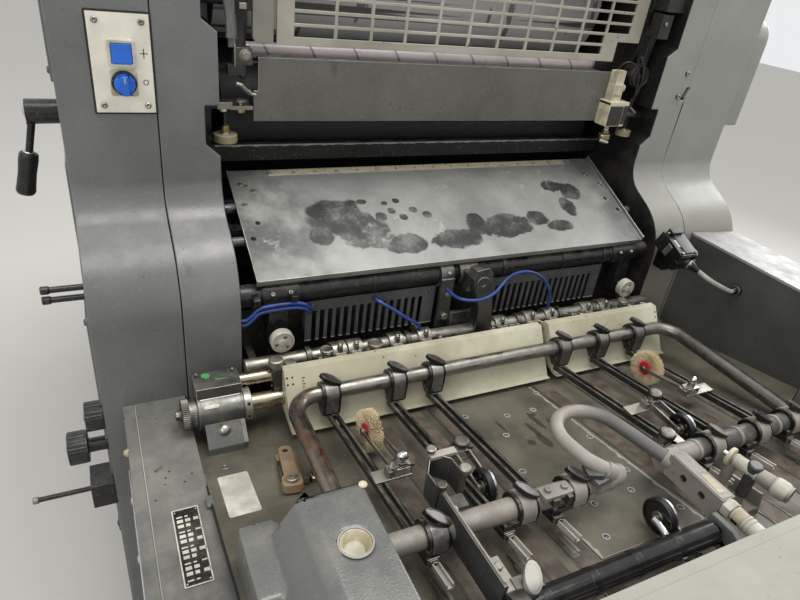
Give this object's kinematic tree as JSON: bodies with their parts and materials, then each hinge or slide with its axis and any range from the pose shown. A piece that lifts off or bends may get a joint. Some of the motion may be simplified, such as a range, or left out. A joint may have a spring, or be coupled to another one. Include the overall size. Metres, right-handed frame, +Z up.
{
  "type": "sheet-fed offset printing press",
  "caption": "Offset printing press with a feed board, wheel frame, register unit, slanted infeed plate, guarded cylinders between two side frames, feeder and delivery.",
  "frame": {"origin": "on the floor under the plinth, midway between the side frames and level with the front face of the upper side frames", "axes": "+X to the right seen from the feeder, +Y along the sheet travel from feeder to delivery, +Z up"},
  "size_m": [1.441, 2.8, 1.6],
  "materials": {
    "black_iron": "oily black",
    "black_plastic": "matt black",
    "blanket_rubber": "smooth",
    "blue_hose": "blue tubing",
    "blue_plastic": "glossy blue",
    "board_olive": "dark olive grey, worn",
    "brush_bristle": "cream bristles on a red hub",
    "chrome_roller": "polished",
    "cover_green_grey": "grey-green paint",
    "cream_plastic": "yellowed cream plastic",
    "cream_plate": "cream enamel",
    "dusty_steel": "dusty grey",
    "grey_cable": "dusty pale grey sheath",
    "grille_paint": "light grey paint",
    "guard_paint": "dark grey paint with wear",
    "painted_dark": "hammered dark grey paint",
    "painted_light": "hammered grey paint",
    "panel_plate": "satin",
    "pile_board": "varnished board",
    "plate_steel": "blue-grey with dark blotches",
    "rubber_black": "matt",
    "tape_brown": "woven brown tape"
  },
  "bodies": {
    "press": {"base_frame": "black_iron", "side_frame_left": "painted_dark", "side_frame_right": "painted_light", "outer_covers": "painted_dark", "control_panel": "panel_plate", "ink_unit_housing": "black_iron", "top_cover": "painted_dark", "ink_rollers": "blanket_rubber", "guard_brackets": "black_iron", "infeed_plate": "plate_steel", "cross_shaft": "black_iron", "comb_guards": "guard_paint", "cross_member": "black_iron", "centre_bracket": "dusty_steel", "front_lays": "dusty_steel", "control_hoses": "blue_hose", "register_plate": "cream_plate", "register_shafts": "dusty_steel", "shaft_bearing": "dusty_steel", "table_cabinet": "painted_dark", "feed_board": "board_olive", "conveyor_tapes": "tape_brown", "table_covers": "painted_dark", "interlock_plug": "black_plastic", "interlock_cable": "grey_cable", "hold_down_tube": "dusty_steel", "cross_bar": "dusty_steel", "slotted_rails": "black_iron", "clamp_blocks": "black_iron", "wheel_holders": "dusty_steel", "feeder_castings": "painted_light", "sheet_guide": "guard_paint", "valve_block": "dusty_steel", "air_pipe": "dusty_steel", "feeder_frame": "painted_dark", "suction_head": "guard_paint", "feeder_cover": "cover_green_grey", "delivery_frame": "painted_dark", "pile_tables": "pile_board", "side_knobs": "black_plastic"},
    "start_button": {"start_button": "blue_plastic"},
    "selector_knob": {"selector_knob": "blue_plastic"},
    "plate_cylinder": {"plate_cylinder": "chrome_roller"},
    "blanket_cylinder": {"blanket_cylinder": "blanket_rubber"},
    "impression_cylinder": {"impression_cylinder": "chrome_roller"},
    "guard_grille": {"guard_grille": "grille_paint"},
    "blanket_guard": {"blanket_guard": "guard_paint", "guard_switch": "cream_plastic", "switch_lead": "black_plastic"},
    "dial_knob_left": {"dial_knob_left": "dusty_steel"},
    "dial_knob_right": {"dial_knob_right": "dusty_steel"},
    "graduated_ring": {"graduated_ring": "dusty_steel"},
    "brush_wheel_left": {"brush_wheel_left": "brush_bristle"},
    "brush_wheel_right": {"brush_wheel_right": "brush_bristle"},
    "rubber_wheel_a": {"rubber_wheel_a": "rubber_black"},
    "rubber_wheel_b": {"rubber_wheel_b": "rubber_black"},
    "rubber_wheel_c": {"rubber_wheel_c": "rubber_black"},
    "forwarding_roller": {"forwarding_roller": "chrome_roller"},
    "crank_handle": {"crank_handle": "black_plastic"}
  },
  "joints": [
    {"name": "plate_cylinder_spin", "type": "hinge", "parent": "press", "child": "plate_cylinder", "pos_m": [0, 0.3, 1.42945], "axis": [1, 0, 0], "continuous": true},
    {"name": "blanket_cylinder_spin", "type": "hinge", "parent": "press", "child": "blanket_cylinder", "pos_m": [0, 0.255, 1.19473], "axis": [1, 0, 0], "continuous": true},
    {"name": "impression_cylinder_spin", "type": "hinge", "parent": "press", "child": "impression_cylinder", "pos_m": [0, 0.3, 0.96], "axis": [1, 0, 0], "continuous": true},
    {"name": "guard_grille_swing", "type": "hinge", "parent": "press", "child": "guard_grille", "pos_m": [0, 0.058, 1.521], "axis": [-1, 0, 0], "range_deg": [0, 75]},
    {"name": "blanket_guard_swing", "type": "hinge", "parent": "press", "child": "blanket_guard", "pos_m": [0, 0.07, 1.316], "axis": [-1, 0, 0], "range_deg": [0, 55]},
    {"name": "brush_wheel_left_spin", "type": "hinge", "parent": "press", "child": "brush_wheel_left", "pos_m": [-0.286, -0.32, 0.90116], "axis": [1, 0, 0], "continuous": true},
    {"name": "brush_wheel_right_spin", "type": "hinge", "parent": "press", "child": "brush_wheel_right", "pos_m": [0.247, -0.324, 0.90188], "axis": [1, 0, 0], "continuous": true},
    {"name": "rubber_wheel_a_spin", "type": "hinge", "parent": "press", "child": "rubber_wheel_a", "pos_m": [-0.196, -0.479, 0.92156], "axis": [1, 0, 0], "continuous": true},
    {"name": "rubber_wheel_b_spin", "type": "hinge", "parent": "press", "child": "rubber_wheel_b", "pos_m": [0.154, -0.481, 0.92192], "axis": [1, 0, 0], "continuous": true},
    {"name": "rubber_wheel_c_spin", "type": "hinge", "parent": "press", "child": "rubber_wheel_c", "pos_m": [-0.031, -0.608, 0.9447], "axis": [1, 0, 0], "continuous": true},
    {"name": "forwarding_roller_spin", "type": "hinge", "parent": "press", "child": "forwarding_roller", "pos_m": [0, -0.655, 0.96], "axis": [1, 0, 0], "continuous": true},
    {"name": "graduated_ring_turn", "type": "hinge", "parent": "press", "child": "graduated_ring", "pos_m": [-0.513, -0.2, 0.89], "axis": [1, 0, 0], "range_deg": [-90, 90]},
    {"name": "dial_knob_left_turn", "type": "hinge", "parent": "press", "child": "dial_knob_left", "pos_m": [-0.36, -0.129, 0.942], "axis": [0, -1, 0], "range_deg": [-150, 150]},
    {"name": "dial_knob_right_turn", "type": "hinge", "parent": "press", "child": "dial_knob_right", "pos_m": [0.36, -0.129, 0.942], "axis": [0, -1, 0], "range_deg": [-150, 150]},
    {"name": "crank_handle_turn", "type": "hinge", "parent": "press", "child": "crank_handle", "pos_m": [-0.64, 0.1, 1.236], "axis": [-1, 0, 0], "continuous": true},
    {"name": "selector_turn", "type": "hinge", "parent": "press", "child": "selector_knob", "pos_m": [-0.542, -0.01, 1.3], "axis": [0, -1, 0], "range_deg": [-45, 45]},
    {"name": "start_button_press", "type": "slide", "parent": "press", "child": "start_button", "axis": [0, 1, 0], "range_m": [0, 0.003], "stiffness_N_per_m": 400}
  ],
  "couplings": [
    {"joint": "blanket_cylinder_spin", "follows": "plate_cylinder_spin", "ratio": -1},
    {"joint": "impression_cylinder_spin", "follows": "plate_cylinder_spin", "ratio": 1}
  ]
}
